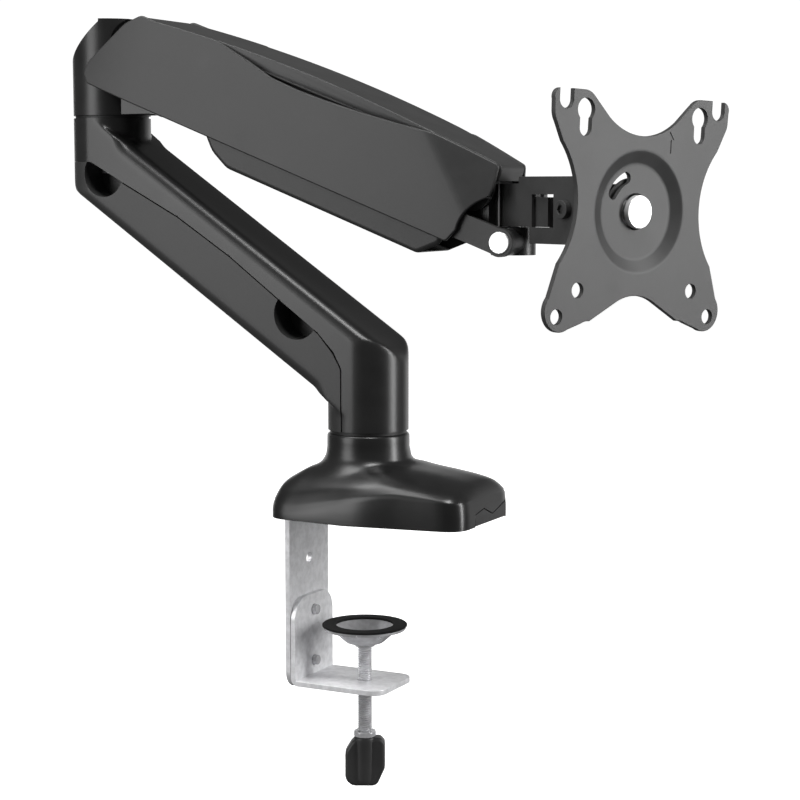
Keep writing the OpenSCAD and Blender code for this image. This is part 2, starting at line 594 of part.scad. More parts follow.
module tilt_washers() color(NYLON) head_frame() for (s = [-1, 1])
    translate([tilt_reach, s * 5 - 0.45, tilt_z]) rotate([-90, 0, 0]) tube(7, 3.1, 0.9);
flange_x = plate_reach - plate_t - dish_depth - 4.4;   // front face of the knuckle's flange
module tilt_knuckle() color(BLACK) tilt_frame() difference() {
    union() {
        bar_y(7.5, -4.4, 4.4);
        translate([0, -4.4, -7.5]) cube([flange_x - 2, 8.8, 15]);
        // flange, wider than it is tall
        translate([flange_x - 4, 0, 0]) rotate([90, 0, 90]) linear_extrude(4) difference() {
            intersection() { circle(r = 20); square([40, 26], center = true); }
            circle(r = 5.53);
        }
    }
    bar_y(3.1, -20, 20);
    translate([flange_x - 14, 0, 0]) rotate([0, 90, 0]) cylinder(r = 5.53, h = 30);
}
module hub_rivet() color(ZINC) tilt_frame() union() {
    translate([flange_x - 4, 0, 0]) rotate([0, 90, 0]) cylinder(r = 5.5,
        h = plate_reach - flange_x + 2);
    translate([plate_reach - dish_depth + 0.15, 0, 0]) rotate([0, 90, 0])
        cylinder(r = hub_r, h = dish_depth + 0.3);
}
module hub_washer() color(NYLON) plate_frame() translate([0, 0, -dish_depth - plate_t - 1.55])
    tube(16, 8.6, 1.5);

// ---- display plate, drawn face up: X right, Y up ----
function plate_right() = concat(
    arc(0, 71.8, 36, 270, 308, 8), arc(38.5, 46.2, 9, 135, 95, 4),
    [[45.9, 55.2], [45.9, 50]], arc(50, 50, 4.1, 180, 360, 8), [[54.1, 55]],
    arc(53.6, 51, 4, 70, -20, 4), arc(47.6, 45.2, 9.6, 0, -34, 3),
    arc(84, 2.2, 43.7, 139, 219, 12), arc(47.8, -47.4, 9.9, 40, -120, 12),
    arc(29.8, -61.4, 9.4, 62, 95, 4), arc(5.4, -13.6, 46.4, -60, -62, 1),
    arc(0, -66, 26, 52, 90, 8));
module plate_outline() polygon(concat(plate_right(), flip_x(plate_right())));
module keyhole() { circle(r = 3.7); translate([0, 8.6]) circle(r = 5.4);
    translate([-3.7, 0]) square([7.4, 8.6]); }
module vesa_plate() color([0.25, 0.25, 0.25]) plate_frame() difference() {
    union() {
        translate([0, 0, -plate_t]) linear_extrude(plate_t) plate_outline();
        translate([0, 0, -plate_t - dish_depth]) cylinder(r1 = 24.5, r2 = 30.6, h = dish_depth);
    }
    translate([0, 0, -dish_depth]) cylinder(r1 = 22, r2 = 28.5, h = dish_depth + 0.01);
    translate([0, 0, -20]) cylinder(r = 8.6, h = 40);
    for (s = [-1, 1]) for (d = [50, 37.5]) translate([s * d, -d, -10]) cylinder(r = hole_r, h = 20);
    for (s = [-1, 1]) translate([s * 37.5, 37.5, -10]) linear_extrude(20) keyhole();
    // curved sight slot in the dish
    translate([0, 0, -20]) linear_extrude(40) union() {
        polygon(concat(arc(0, 0, 20.2, 114, 152, 8), arc(0, 0, 14.4, 152, 114, 8)));
        for (a = [114, 152]) rotate([0, 0, a]) translate([17.3, 0]) circle(r = 2.9);
    }
}

desk_pad();
base_plate();
base_cover();
base_cable_clip();
post();
post_screws();
post_washer();
post_bolt();
clamp_back_plate();
back_plate_screws();
clamp_jaw();
jaw_screws();
clamp_pad();
clamp_pad_ring();
clamp_screw();
screw_collar();
clamp_knob();
lower_arm_shell();
lower_cable_cover();
base_thrust_ring();
base_bush_lower();
base_bush_upper();
elbow_socket_bush();
elbow_spindle();
elbow_washer();
elbow_bolt();
elbow_thrust_ring();
elbow_yoke();
lift_pin();
rear_link_pin();
spring_rear_pin();
arm_channel();
near_side_cover();
far_side_cover();
top_cover();
belly_cover();
cover_screws();
gas_cylinder();
spring_front_pin();
head_pivot_pin();
gas_rod();
lower_link();
head_block();
swivel_pin();
front_link_pin();
swivel_bracket();
tilt_bolt();
tilt_nut();
tilt_knuckle();
tilt_washers();
hub_rivet();
vesa_plate();
hub_washer();
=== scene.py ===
import json
import math

import bmesh
import bpy
from mathutils import Matrix, Vector


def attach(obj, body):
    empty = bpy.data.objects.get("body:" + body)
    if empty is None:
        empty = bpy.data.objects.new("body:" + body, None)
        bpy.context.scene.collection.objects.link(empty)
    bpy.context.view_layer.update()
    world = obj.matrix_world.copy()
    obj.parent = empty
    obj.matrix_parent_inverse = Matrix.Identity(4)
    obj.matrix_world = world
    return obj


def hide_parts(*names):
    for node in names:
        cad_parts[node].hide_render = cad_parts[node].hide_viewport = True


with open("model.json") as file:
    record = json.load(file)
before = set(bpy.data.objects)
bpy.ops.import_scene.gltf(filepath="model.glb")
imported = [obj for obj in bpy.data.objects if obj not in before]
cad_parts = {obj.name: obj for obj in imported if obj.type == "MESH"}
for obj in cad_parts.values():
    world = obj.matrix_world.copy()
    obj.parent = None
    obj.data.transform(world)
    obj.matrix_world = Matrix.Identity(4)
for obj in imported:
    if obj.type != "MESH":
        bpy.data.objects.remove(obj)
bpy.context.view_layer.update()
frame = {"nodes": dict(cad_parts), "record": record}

MM = 0.001
BODY_OF = {n: b for b, names in frame["record"]["behaviour"]["bodies"].items() for n in names}
SLOT_OF = {s["node"]: s["material_slot"] for s in frame["record"]["subparts"]}

# ---- driving dimensions, in mm, as in the CAD model ----
TUBE_R = 21.7
REACH = 164.0
ARM_FOOT = 47.2
ELBOW_Z = 215.0
LIFT = (-132.9, 254.2)
PITCH = 20.9
COVER_Y = 27.0
HEAD_X = 85.5
HEAD_YAW = -25.5
TILT = (46.3, 165.6)
PLATE_REACH = 43.7
SCREW_X = -2.5
PAD_TOP = -60.0
DISH = 2.9


# ---- frames ----
def turn(axis, degrees):
    return Matrix.Rotation(math.radians(degrees), 4, axis)


ARM_FRAME = Matrix.Translation((LIFT[0], 0, LIFT[1])) @ turn("Y", PITCH)
HEAD_FRAME = Matrix.Translation((HEAD_X, 0, 0)) @ turn("Z", HEAD_YAW)
PLATE_FRAME = (HEAD_FRAME @ Matrix.Translation((TILT[0], 0, TILT[1])) @ turn("Y", 1.0)
               @ Matrix.Translation((PLATE_REACH, 0, 0)) @ turn("X", -2.2))


# ---- materials ----
def node(tree, kind, **values):
    made = tree.nodes.new(kind)
    for key, value in values.items():
        if key in made.inputs:
            made.inputs[key].default_value = value
        else:
            setattr(made, key, value)
    return made


def material(name, dark, light, rough, metal=0.0, specular=0.5, patch=60.0, grain=900.0,
             depth=0.00004, stretch=(1, 1, 1), coat=0.0):
    """A finish whose colour and gloss vary in soft patches, over a fine grain."""
    mat = bpy.data.materials.new(name)
    mat.use_nodes = True
    tree = mat.node_tree
    shader = tree.nodes["Principled BSDF"]
    shader.inputs["Metallic"].default_value = metal
    shader.inputs["Specular IOR Level"].default_value = specular
    shader.inputs["Coat Weight"].default_value = coat
    shader.inputs["Coat Roughness"].default_value = 0.12
    place = node(tree, "ShaderNodeTexCoord")
    scale = node(tree, "ShaderNodeMapping")
    scale.inputs["Scale"].default_value = stretch
    tree.links.new(place.outputs["Object"], scale.inputs["Vector"])
    patches = node(tree, "ShaderNodeTexNoise", Scale=patch, Detail=4.0, Roughness=0.55)
    grains = node(tree, "ShaderNodeTexNoise", Scale=grain, Detail=3.0, Roughness=0.6)
    for noise in (patches, grains):
        tree.links.new(scale.outputs["Vector"], noise.inputs["Vector"])
    tone = node(tree, "ShaderNodeMix", data_type="RGBA")
    tone.inputs[6].default_value = (*dark, 1)
    tone.inputs[7].default_value = (*light, 1)
    contrast = node(tree, "ShaderNodeMapRange")
    contrast.inputs["From Min"].default_value = 0.35
    contrast.inputs["From Max"].default_value = 0.65
    tree.links.new(patches.outputs["Fac"], contrast.inputs["Value"])
    tree.links.new(contrast.outputs["Result"], tone.inputs[0])
    tree.links.new(tone.outputs[2], shader.inputs["Base Color"])
    gloss = node(tree, "ShaderNodeMapRange")
    gloss.inputs["To Min"].default_value = rough - 0.04
    gloss.inputs["To Max"].default_value = rough + 0.04
    tree.links.new(patches.outputs["Fac"], gloss.inputs["Value"])
    tree.links.new(gloss.outputs["Result"], shader.inputs["Roughness"])
    bump = node(tree, "ShaderNodeBump", Strength=0.6, Distance=depth)
    tree.links.new(grains.outputs["Fac"], bump.inputs["Height"])
    tree.links.new(bump.outputs["Normal"], shader.inputs["Normal"])
    return mat


def grey(v, blue=0.0):
    return (v, v, v * (1 + blue))


MATERIALS = {
    "arm_casting": material("satin_black_paint", grey(0.010), grey(0.014), 0.34,
                            grain=1400, depth=0.000012),
    "base_black": material("satin_black_shell", grey(0.009), grey(0.012), 0.3,
                           grain=1600, depth=0.000014),
    "cover_black": material("moulded_black_plastic", grey(0.030), grey(0.036), 0.46,
                            grain=1800, depth=0.00003),
    "bracket_black": material("black_powder_coat", grey(0.026), grey(0.036), 0.5,
                              grain=1500, depth=0.00005),
    "plate_grey": material("grey_powder_coat", grey(0.036), grey(0.044), 0.48,
                           grain=1600, depth=0.00005),
    "galvanised": material("galvanised_steel", grey(0.78, 0.02), grey(0.95, 0.02), 0.34, metal=0.22,
                           patch=260, grain=500, depth=0.00003),
    "zinc_screw": material("bright_zinc", grey(0.6, 0.02), grey(0.8, 0.03), 0.26, metal=0.45,
                           patch=200, grain=900, depth=0.00001),
    # painted reflection: the near-white base colour stands in for the white surroundings mirrored in the
    # polished pin ends
    "polished_pin": material("steel_with_painted_white_reflection", grey(0.93), grey(0.97), 0.2, metal=0.3,
                             patch=120, grain=600, depth=0.000004),
    "steel_inner": material("machined_steel", grey(0.3), grey(0.42), 0.3, metal=1.0,
                            patch=180, grain=700, depth=0.00001, stretch=(1, 8, 1)),
    "rubber_black": material("black_rubber", grey(0.006), grey(0.010), 0.8, specular=0.25,
                             grain=1200, depth=0.00006),
    "knob_black": material("black_knob_plastic", grey(0.03), grey(0.038), 0.45,
                           grain=1000, depth=0.00008),
    "nylon_black": material("black_nylon", grey(0.008), grey(0.012), 0.5,
                            patch=90, grain=800),
}
for name, obj in frame["nodes"].items():
    obj.data.materials.clear()
    obj.data.materials.append(MATERIALS[SLOT_OF[name]])


# ---- mesh helpers ----
def add(name, data):
    """A new object in the scene."""
    obj = bpy.data.objects.new(name, data)
    bpy.context.scene.collection.objects.link(obj)
    return obj


def build(name, verts, faces, place=Matrix.Identity(4)):
    """An object made from vertices in mm, with its normals facing out."""
    mesh = bpy.data.meshes.new(name)
    mesh.from_pydata([place @ Vector(v) for v in verts], [], faces)
    for v in mesh.vertices:
        v.co *= MM
    bm = bmesh.new()
    bm.from_mesh(mesh)
    bmesh.ops.remove_doubles(bm, verts=bm.verts, dist=1e-6)
    bmesh.ops.recalc_face_normals(bm, faces=bm.faces)
    bm.to_mesh(mesh)
    bm.free()
    return add(name, mesh)


def bake(obj):
    """Applies the object's modifiers to its mesh."""
    graph = bpy.context.evaluated_depsgraph_get()
    graph.update()
    mesh = bpy.data.meshes.new_from_object(obj.evaluated_get(graph))
    obj.modifiers.clear()
    obj.data = mesh
    if not mesh.polygons:
        raise RuntimeError("the piece " + obj.name + " came out empty")


def boolean(obj, tool, operation="DIFFERENCE", keep_tool=False):
    """Joins, cuts or trims a solid with a tool, which is then used up."""
    mod = obj.modifiers.new("cut", "BOOLEAN")
    mod.operation = operation
    mod.solver = "EXACT"
    mod.object = tool
    bake(obj)
    if not keep_tool:
        bpy.data.objects.remove(tool)


def soften(obj, voxel, times):
    """Remeshes a solid and relaxes it, which rounds its creases as on a casting."""
    remesh = obj.modifiers.new("Remesh", "REMESH")
    remesh.mode = "VOXEL"
    remesh.voxel_size = voxel * MM
    relax = obj.modifiers.new("Smooth", "SMOOTH")
    relax.factor = 0.5
    relax.iterations = times
    bake(obj)


def bevel(obj, width, angle):
    mod = obj.modifiers.new("edges", "BEVEL")
    mod.width = width * MM
    mod.segments = 2
    mod.limit_method = "ANGLE"
    mod.angle_limit = math.radians(angle)
    mod.miter_outer = "MITER_ARC"
    bake(obj)


def smooth(obj, angle):
    """Shades a piece smooth, apart from the edges sharper than the angle."""
    obj.data.shade_smooth()
    obj.data.set_sharp_from_angle(angle=math.radians(angle))
    mod = obj.modifiers.new("even", "WEIGHTED_NORMAL")
    mod.keep_sharp = True
    bake(obj)


def settle(obj, name):
    """Gives a finished piece its material and its body, and hides the CAD node it stands for."""
    slot = SLOT_OF[name]
    obj.data.materials.clear()
    obj.data.materials.append(MATERIALS[slot])
    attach(obj, BODY_OF[name])
    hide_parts(name)


def copy_of(name):
    """The CAD node's own mesh as a new object, with its flat faces merged."""
    mesh = frame["nodes"][name].data.copy()
    bm = bmesh.new()
    bm.from_mesh(mesh)
    bmesh.ops.remove_doubles(bm, verts=bm.verts, dist=2e-6)
    bmesh.ops.dissolve_limit(bm, angle_limit=math.radians(0.6), verts=bm.verts, edges=bm.edges)
    bm.to_mesh(mesh)
    bm.free()
    return add(name + "_finished", mesh)


def refine(name, width):
    """A CAD node with its outer edges broken."""
    obj = copy_of(name)
    bevel(obj, width, 32)
    smooth(obj, 40)
    settle(obj, name)


def loft(rings):
    """Vertices and faces of a closed solid through rings with the same number of points."""
    size = len(rings[0])
    verts = [p for ring in rings for p in ring]
    faces = []
    for i in range(len(rings) - 1):
        for k in range(size):
            n = (k + 1) % size
            faces.append((i * size + k, i * size + n, (i + 1) * size + n, (i + 1) * size + k))
    faces.append(tuple(range(size))[::-1])
    faces.append(tuple(range((len(rings) - 1) * size, len(rings) * size)))
    return verts, faces


def arc(cx, cy, r, a0, a1, n):
    """Points of an arc from angle a0 to a1, in degrees, in n steps."""
    angles = [math.radians(a0 + (a1 - a0) * i / n) for i in range(n + 1)]
    return [(cx + r * math.cos(a), cy + r * math.sin(a)) for a in angles]


def rounded(points, radii, n=10):
    """A closed outline whose corners are arcs of the given radii."""
    out = []
    for i, point in enumerate(points):
        r = radii[i] if isinstance(radii, (list, tuple)) else radii
        p = Vector(point)
        a = Vector(points[i - 1]) - p
        b = Vector(points[(i + 1) % len(points)]) - p
        angle = a.angle(b)
        if r <= 0 or angle > math.radians(179):
            out.append(tuple(p))
            continue
        reach = r / math.tan(angle / 2)
        reach = min(reach, a.length * 0.49, b.length * 0.49)
        r = reach * math.tan(angle / 2)
        a.normalize()
        b.normalize()
        centre = p + (a + b).normalized() * (r / math.sin(angle / 2))
        start = p + a * reach - centre
        sweep = start.angle_signed(p + b * reach - centre)
        steps = max(2, int(n * abs(sweep) / 1.6))
        for k in range(steps + 1):
            t = -sweep * k / steps
            out.append((centre.x + start.x * math.cos(t) - start.y * math.sin(t),
                        centre.y + start.x * math.sin(t) + start.y * math.cos(t)))
    return out


def inset(points, d):
    """The outline moved inward by d along its normals (the outline runs anticlockwise)."""
    out = []
    n = len(points)
    for i in range(n):
        a = Vector(points[i - 1])
        p = Vector(points[i])
        b = Vector(points[(i + 1) % n])
        u = (p - a).normalized()
        v = (b - p).normalized()
        normal = Vector((-u.y, u.x)) + Vector((-v.y, v.x))
        if normal.length < 1e-6:
            normal = Vector((-u.y, u.x))
        normal.normalize()
        stretch = 1 / max(0.5, normal.dot(Vector((-u.y, u.x))))
        q = p + normal * d * stretch
        out.append((q.x, q.y))
    return out


def area(points):
    """The outline's area, positive where it runs anticlockwise."""
    return sum(points[i - 1][0] * points[i][1] - points[i][0] * points[i - 1][1]
               for i in range(len(points))) / 2


def rims(low, high, edge, steps):
    """Levels through a thickness, with the inset that gives each rim a round edge."""
    turned = [math.pi / 2 * k / steps for k in range(steps + 1)]
    levels = [(low + edge * (1 - math.sin(a)), edge * (1 - math.cos(a))) for a in turned]
    return levels[::-1] + [(high + low - y, d) for y, d in levels]


def slab(name, outline, low, high, edge, place=Matrix.Identity(4), steps=4):
    """A plate with rounded rims: outline in x-z, thickness along y from low to high."""
    if area(outline) < 0:
        outline = outline[::-1]
    rings = [[(x, y, z) for x, z in inset(outline, d)] for y, d in rims(low, high, edge, steps)]
    return build(name, *loft(rings), place)


def cutter(name, outline, low, high, place=Matrix.Identity(4)):
    """A sharp-edged prism: outline in x-z, along y from low to high."""
    return build(name, *loft([[(x, y, z) for x, z in outline] for y in (low, high)]), place)


def wheel(name, spokes, place=Matrix.Identity(4)):
    """A solid whose sections, all with the same number of points, go round a full circle."""
    size = len(spokes[0])
    faces = []
    for i in range(len(spokes)):
        j = (i + 1) % len(spokes)
        for k in range(size):
            n = (k + 1) % size
            faces.append((i * size + k, j * size + k, j * size + n, i * size + n))
    return build(name, [p for spoke in spokes for p in spoke], faces, place)


def blend(x, table):
    """A smooth curve through (place, value) pairs."""
    if x <= table[0][0]:
        return table[0][1]
    if x >= table[-1][0]:
        return table[-1][1]
    for i in range(len(table) - 1):
        x0, y0 = table[i]
        x1, y1 = table[i + 1]
        if x0 <= x <= x1:
            before = table[max(i - 1, 0)]
            after = table[min(i + 2, len(table) - 1)]
            m0 = (y1 - before[1]) / (x1 - before[0])
            m1 = (after[1] - y0) / (after[0] - x0)
            t = (x - x0) / (x1 - x0)
            w = x1 - x0
            return ((2 * t ** 3 - 3 * t ** 2 + 1) * y0 + (t ** 3 - 2 * t ** 2 + t) * w * m0
                    + (3 * t ** 2 - 2 * t ** 3) * y1 + (t ** 3 - t ** 2) * w * m1)


# ---- lower arm: a round tube at both ends, flat sided with rounded edges between ----
SLOPE = 34.0
ARM_TOP = (-60.0, 145.5)  # a point on the sloping top edge, in x-z
ARM_DEPTH = 42.4
ARM_EDGE = 7.0  # rounding of the long edges
SEAM_GAP = 0.8
TUBE_TURN = (2, 357.5)  # keeps the facets of the tubes clear of the slab's corners


def lower_arm_body(name):
    """The side profile with rounded long edges, trimmed to a plan with round ends."""
    slope = math.radians(SLOPE)

    def top_at(x):
        return ARM_TOP[1] - (x - ARM_TOP[0]) * math.tan(slope)

    def under_at(x):
        return top_at(x) - ARM_DEPTH / math.cos(slope)

    low, high = ARM_FOOT - 12, ELBOW_Z + 12
    outline = rounded([(-TUBE_R, low), (TUBE_R, low), (TUBE_R, top_at(TUBE_R)),
                       (TUBE_R - REACH, top_at(TUBE_R - REACH)), (TUBE_R - REACH, high),
                       (-TUBE_R - REACH, high), (-TUBE_R - REACH, under_at(-TUBE_R - REACH)),
                       (-TUBE_R, under_at(-TUBE_R))], [0, 0, 15, 8, 0, 0, 20, 6], 14)
    # the faces of slab, band and tubes stay a hair apart, so that none of them coincide
    flat = TUBE_R - 0.06
    clear = 0.02
    rear, front = -REACH - 3, 2
    body = slab(name, outline, -flat, flat, ARM_EDGE, steps=8)
    form = cutter("slope_band", [(rear, under_at(rear) - clear), (front, under_at(front) - clear),
                                 (front, top_at(front) + clear), (rear, top_at(rear) + clear)], -30, 30)
    for x in (0, -REACH):
        ring = arc(x, 0, TUBE_R, *TUBE_TURN, 79)
        tube = build("arm_tube", *loft([[(u, v, z) for u, v in ring] for z in (low + 1, high - 1)]))
        boolean(form, tube, "UNION")
    boolean(body, form, "INTERSECT")
    soften(body, 1.2, 9)
    ends = cutter("arm_ends", [(-REACH - 40, ARM_FOOT), (40, ARM_FOOT), (40, ELBOW_Z),
                               (-REACH - 40, ELBOW_Z)], -40, 40)
    boolean(body, ends, "INTERSECT")
    return body


def seam(gap):
    """The cable cover's side of the seam, in x-z."""
    return [(-4.7 - gap, 40), (-4.7 - gap, 81), (-9.6 - gap, 90 - gap), (-18.8, 99.7 - gap),
            (-42, 116.4 - gap), (-73.5, 139.6 - gap), (-106.6, 160.6 - gap), (-142.3, 179 - gap),
            (-164, 190.6 - gap / 8), (-200, 191 - gap / 8), (-200, 40)]


def lower_arm():
    shell = lower_arm_body("lower_arm_casting")
    cover = lower_arm_body("clip_on_cable_cover")
    cut = cutter("cut_region", rounded(seam(0.0)[::-1], 6), -40, 40)
    keep = cutter("keep_region", rounded(seam(SEAM_GAP)[::-1], 6), -40, 40)
    boolean(shell, cut, keep_tool=True)
    boolean(cover, keep, "INTERSECT")
    # a half-moon finger pocket under the seam at each end, on both sides
    for x, z, r in ((-155.5, 184, 13), (-32.2, 109, 13.5)):
        for side in (-1, 1):
            moon = cutter("moon", arc(x, z, r, 0, 351, 39), *sorted((4 * side, 30 * side)))
            boolean(moon, cut, "INTERSECT", keep_tool=True)
            boolean(cover, moon)
    bpy.data.objects.remove(cut)
    for obj, name in ((shell, "lower_arm_shell"), (cover, "lower_cable_cover")):
        bevel(obj, 0.2, 50)
        smooth(obj, 40)
        settle(obj, name)


# ---- base cover: rounded plan, upright sides that grow towards the nose, flared neck ----
FRONT = 70.0
REAR = -43.6
RIDGE = ((-44, 14), (-40, 20), (-34, 24), (-26, 28), (-10, 30.5), (20, 30.5), (30, 29),
         (47, 26.8), (60, 24.3), (66, 21.5), (70, 16.3))
CREASE = ((-44, 11), (-36, 8.5), (-26, 8), (-2, 12), (14, 15), (33, 17.6), (49, 17), (62, 16),
          (70, 15.5))
WIDTHS = ((-44, 34.5), (-31, 38.2), (-3, 39.9), (15, 39.9), (37, 36.4), (60, 33.8), (70, 32.8))
CORNER_R = 9.5
NECK_R = 22.2
NECK_BORE = 19.2
FLARE_R = 11.0  # how far the neck's flare spreads
DRAFT = 1.2
SPOKES = 160


def half_width(x):
    middle = blend(x, WIDTHS)
    for end in (FRONT - x, x - REAR):
        if end < CORNER_R:
            middle -= CORNER_R - math.sqrt(max(0.0, CORNER_R ** 2 - (CORNER_R - end) ** 2))
    return middle


def reach_to(outline, angle):
    """The distance from the post axis to the outline, in one direction."""
    d = Vector((math.cos(angle), math.sin(angle)))
    best = 0
    for i in range(len(outline)):
        a = Vector(outline[i - 1])
        e = Vector(outline[i]) - a
        det = d.x * -e.y + d.y * e.x
        if abs(det) < 1e-9:
            continue
        t = (a.x * -e.y + a.y * e.x) / det
        u = (d.x * a.y - d.y * a.x) / det
        if t > 0 and -1e-6 <= u <= 1 + 1e-6:
            best = max(best, t)
    return best


def roof(x, y, crease):
    """The height of the domed top, from the crease line at the side up to the ridge."""
    w = max(half_width(min(max(x, REAR + 0.5), FRONT - 0.5)), 1)
    share = min(1, abs(y) / w)
    return crease + (blend(x, RIDGE) - crease) * max(0, 1 - share ** 3.6)


def base_spoke(far, angle):
    """The cover's section in one direction, from its foot up the side, over the roof to the neck."""
    c, s = math.cos(angle), math.sin(angle)
    crease = blend(far * c, CREASE)
    outer = far - DRAFT
    section = [(far - 2.2, 1.0), (far, 1.0), (far, crease * 0.5), (far - DRAFT * 0.5, crease - 1.6),
               (outer, crease - 0.6)]
    lip = crease + 0.2
    for k in range(26):
        r = outer + (NECK_R - outer) * (1 - (1 - k / 25) ** 1.15)
        ease = min(1, (outer - r) / 4.5)
        z = lip + (roof(r * c, r * s, crease) - lip) * math.sqrt(max(0, 1 - (1 - ease) ** 2))
        if r < NECK_R + FLARE_R:
            g = (r - NECK_R) / FLARE_R
            flare = 26 + 12 * (1 - math.sqrt(max(0, 1 - (1 - g) ** 2))) - 16 * g ** 3
            z = math.log(math.exp(z / 1.2) + math.exp(flare / 1.2)) * 1.2
        section.append((r, min(z, 39.5)))
    section += [(NECK_R, 41), (NECK_R - 0.1, 44.2), (NECK_R - 0.6, 45.1), (NECK_R - 1.4, 45.4),
                (NECK_BORE, 45.4), (NECK_BORE, 30)]
    return [(r * c, r * s, z) for r, z in section]


def base_cover():
    stations = [REAR + (FRONT - REAR) * (1 - math.cos(math.pi * i / 90)) / 2 for i in range(91)]
    plan = [(x, half_width(x)) for x in stations]
    outline = plan + [(x, -y) for x, y in plan[::-1]]
    rings = []
    for i in range(SPOKES):
        angle = 2 * math.pi * i / SPOKES
        rings.append(base_spoke(reach_to(outline, angle), angle))
    obj = wheel("base_housing", rings)
    # slot for the snap-in clip: its outline in y-z, with clearance
    clip = [(25, -2), (25, 9.8), (7.6, 5.1), (-2.6, 9.2), (-13.4, 7.4), (-13.4, -2)]
    slot = build("clip_slot", *loft([[(x, y, z) for y, z in inset(clip, -0.45)] for x in (67.2, 76)]))
    boolean(obj, slot)
    smooth(obj, 50)
    settle(obj, "base_cover")


# ---- upper arm covers ----
# p runs forward along the arm from the lift pivot, and q runs up from it
ARM_FRAME_M = ARM_FRAME.copy()
ARM_FRAME_M.translation *= MM
NOSE = (185, 19.4)  # where the side covers begin to lean in, and the direction that they do it in
NOSE_DIR = (0.2567, 0.2863)
TOP_HALF = 24.5  # half width of the top cover, and where and by how much it narrows
TAPER = (183, 44.5, 10)


def crown(p):
    """The height of the arm's arched top edge."""
    return 22 - (p - 112) ** 2 / 1950


def side_outline():
    rear = [(-21.2, -30), (-25.9, -25.3), (-24.6, -18), (-7.6, 9.2), (1.5, crown(0) + 1.3)]
    top = [(p, crown(p)) for p in range(12, 60, 8)]
    scoop = [(75, 16.4), (91, 12.9), (108, 12.3), (125, 12.8), (146, 14.1), (170, 16.4)]
    ahead = [(p, crown(p)) for p in range(190, 223, 8)]
    nose = [(226.3, crown(226)), (228.6, 4), (228.6, -2.5)]
    notch = arc(243, -20.1, 23.6, 128, 186, 14)
    radii = ([2, 2.5, 5, 14, 5] + [14] * len(top) + [30] * len(scoop) + [14] * len(ahead)
             + [2.5, 9, 6] + [2] * len(notch) + [2.5])
    return rounded(rear + top + scoop + ahead + nose + notch + [(216.2, -30)], radii, 8)


def lean(p, q):
    """How far the cover leans in at the nose, with a soft crease where it starts."""
    depth = NOSE_DIR[0] * (p - NOSE[0]) + NOSE_DIR[1] * (q - NOSE[1])
    return (depth + math.sqrt(depth * depth + 1)) / 2 if depth > -4 else 0


def side_cover(name, mirror):
    """A thin panel whose rear curls in and whose nose leans in, cut into strips so that it can bend."""
    obj = slab(name + "_panel", side_outline(), -COVER_Y, -COVER_Y + 2.2, 0.9)
    bm = bmesh.new()
    bm.from_mesh(obj.data)
    strips = [((16.0 - 2.5 * i, 0), (1, 0)) for i in range(17)]
    strips += [((NOSE[0] + level / NOSE_DIR[0], NOSE[1]), NOSE_DIR)
               for level in (-4, -2, -1, -0.5, 0, 0.5, 1, 2, 4, 6, 8)]
    for (p, q), (across, up) in strips:
        geometry = bm.verts[:] + bm.edges[:] + bm.faces[:]
        bmesh.ops.bisect_plane(bm, geom=geometry, plane_co=(p * MM, 0, q * MM), plane_no=(across, 0, up))
    for v in bm.verts:
        behind = max(0, 14 - v.co.x / MM)
        v.co.y += (behind ** 2 / 600 + lean(v.co.x / MM, v.co.z / MM)) * MM
    if mirror:
        bmesh.ops.transform(bm, matrix=Matrix.Scale(-1, 4, (0, 1, 0)), verts=bm.verts)
        bmesh.ops.reverse_faces(bm, faces=bm.faces)
    bmesh.ops.transform(bm, matrix=ARM_FRAME_M, verts=bm.verts)
    bm.to_mesh(obj.data)
    bm.free()
    smooth(obj, 40)
    settle(obj, name)


def top_cover():
    ridge = [(p, crown(p)) for p in range(0, 219, 6)]
    nose = [(222.5, crown(222.5)), (224.8, 15.3), (226.4, 14.5), (227.3, 13), (227.5, 11), (227.4, 7),
            (225.4, 7), (224.4, 11.8), (220, 13)]
    start, length, less = TAPER
    obj = slab("top_cover_panel", ridge + nose + [(start, 13), (0, 13)], -TOP_HALF, TOP_HALF, 1.2)
    for v in obj.data.vertices:
        share = max(0, (v.co.x / MM - start) / length)
        v.co.y *= 1 - share * less / TOP_HALF
    obj.data.transform(ARM_FRAME_M)
    smooth(obj, 40)
    settle(obj, "top_cover")


def belly_cover():
    outline = rounded([(55, -13), (55, -29), (64, -38), (76, -43.4), (199.5, -43.4), (210, -34),
                       (210.6, -13)], [0, 10, 14, 10, 6, 4, 0], 10)
    obj = slab("belly_cover_panel", outline, -19, 19, 2.6, ARM_FRAME)
    trough = ((186, -41.2), (240, -41.2), (240, 0), (186, 0))
    boolean(obj, cutter("trough", trough, -16.9, 16.9, ARM_FRAME))
    bevel(obj, 0.3, 50)
    smooth(obj, 40)
    settle(obj, "belly_cover")


# ---- clamp: the screw with its thread, its dished pad and its knob ----
SCREW_TOP = -69.6
SCREW_FOOT = -133.4
THREAD_PITCH = 1.25
THREAD = ((0.0, 3.3), (0.12, 3.3), (0.45, 4.0), (0.57, 4.0), (0.9, 3.3))  # share of a pitch, radius
THREAD_STEPS = 32  # to a turn


def join(obj, others):
    bm = bmesh.new()
    bm.from_mesh(obj.data)
    for other in others:
        bm.from_mesh(other.data)
        bpy.data.objects.remove(other)
    bm.to_mesh(obj.data)
    bm.free()


def turned(name, levels):
    """A solid turned about the screw's axis, with a radius at each level."""
    return build(name, *loft([[(SCREW_X + x, y, z) for x, y in arc(0, 0, r, 0, 352.5, 47)]
                              for z, r in levels]))


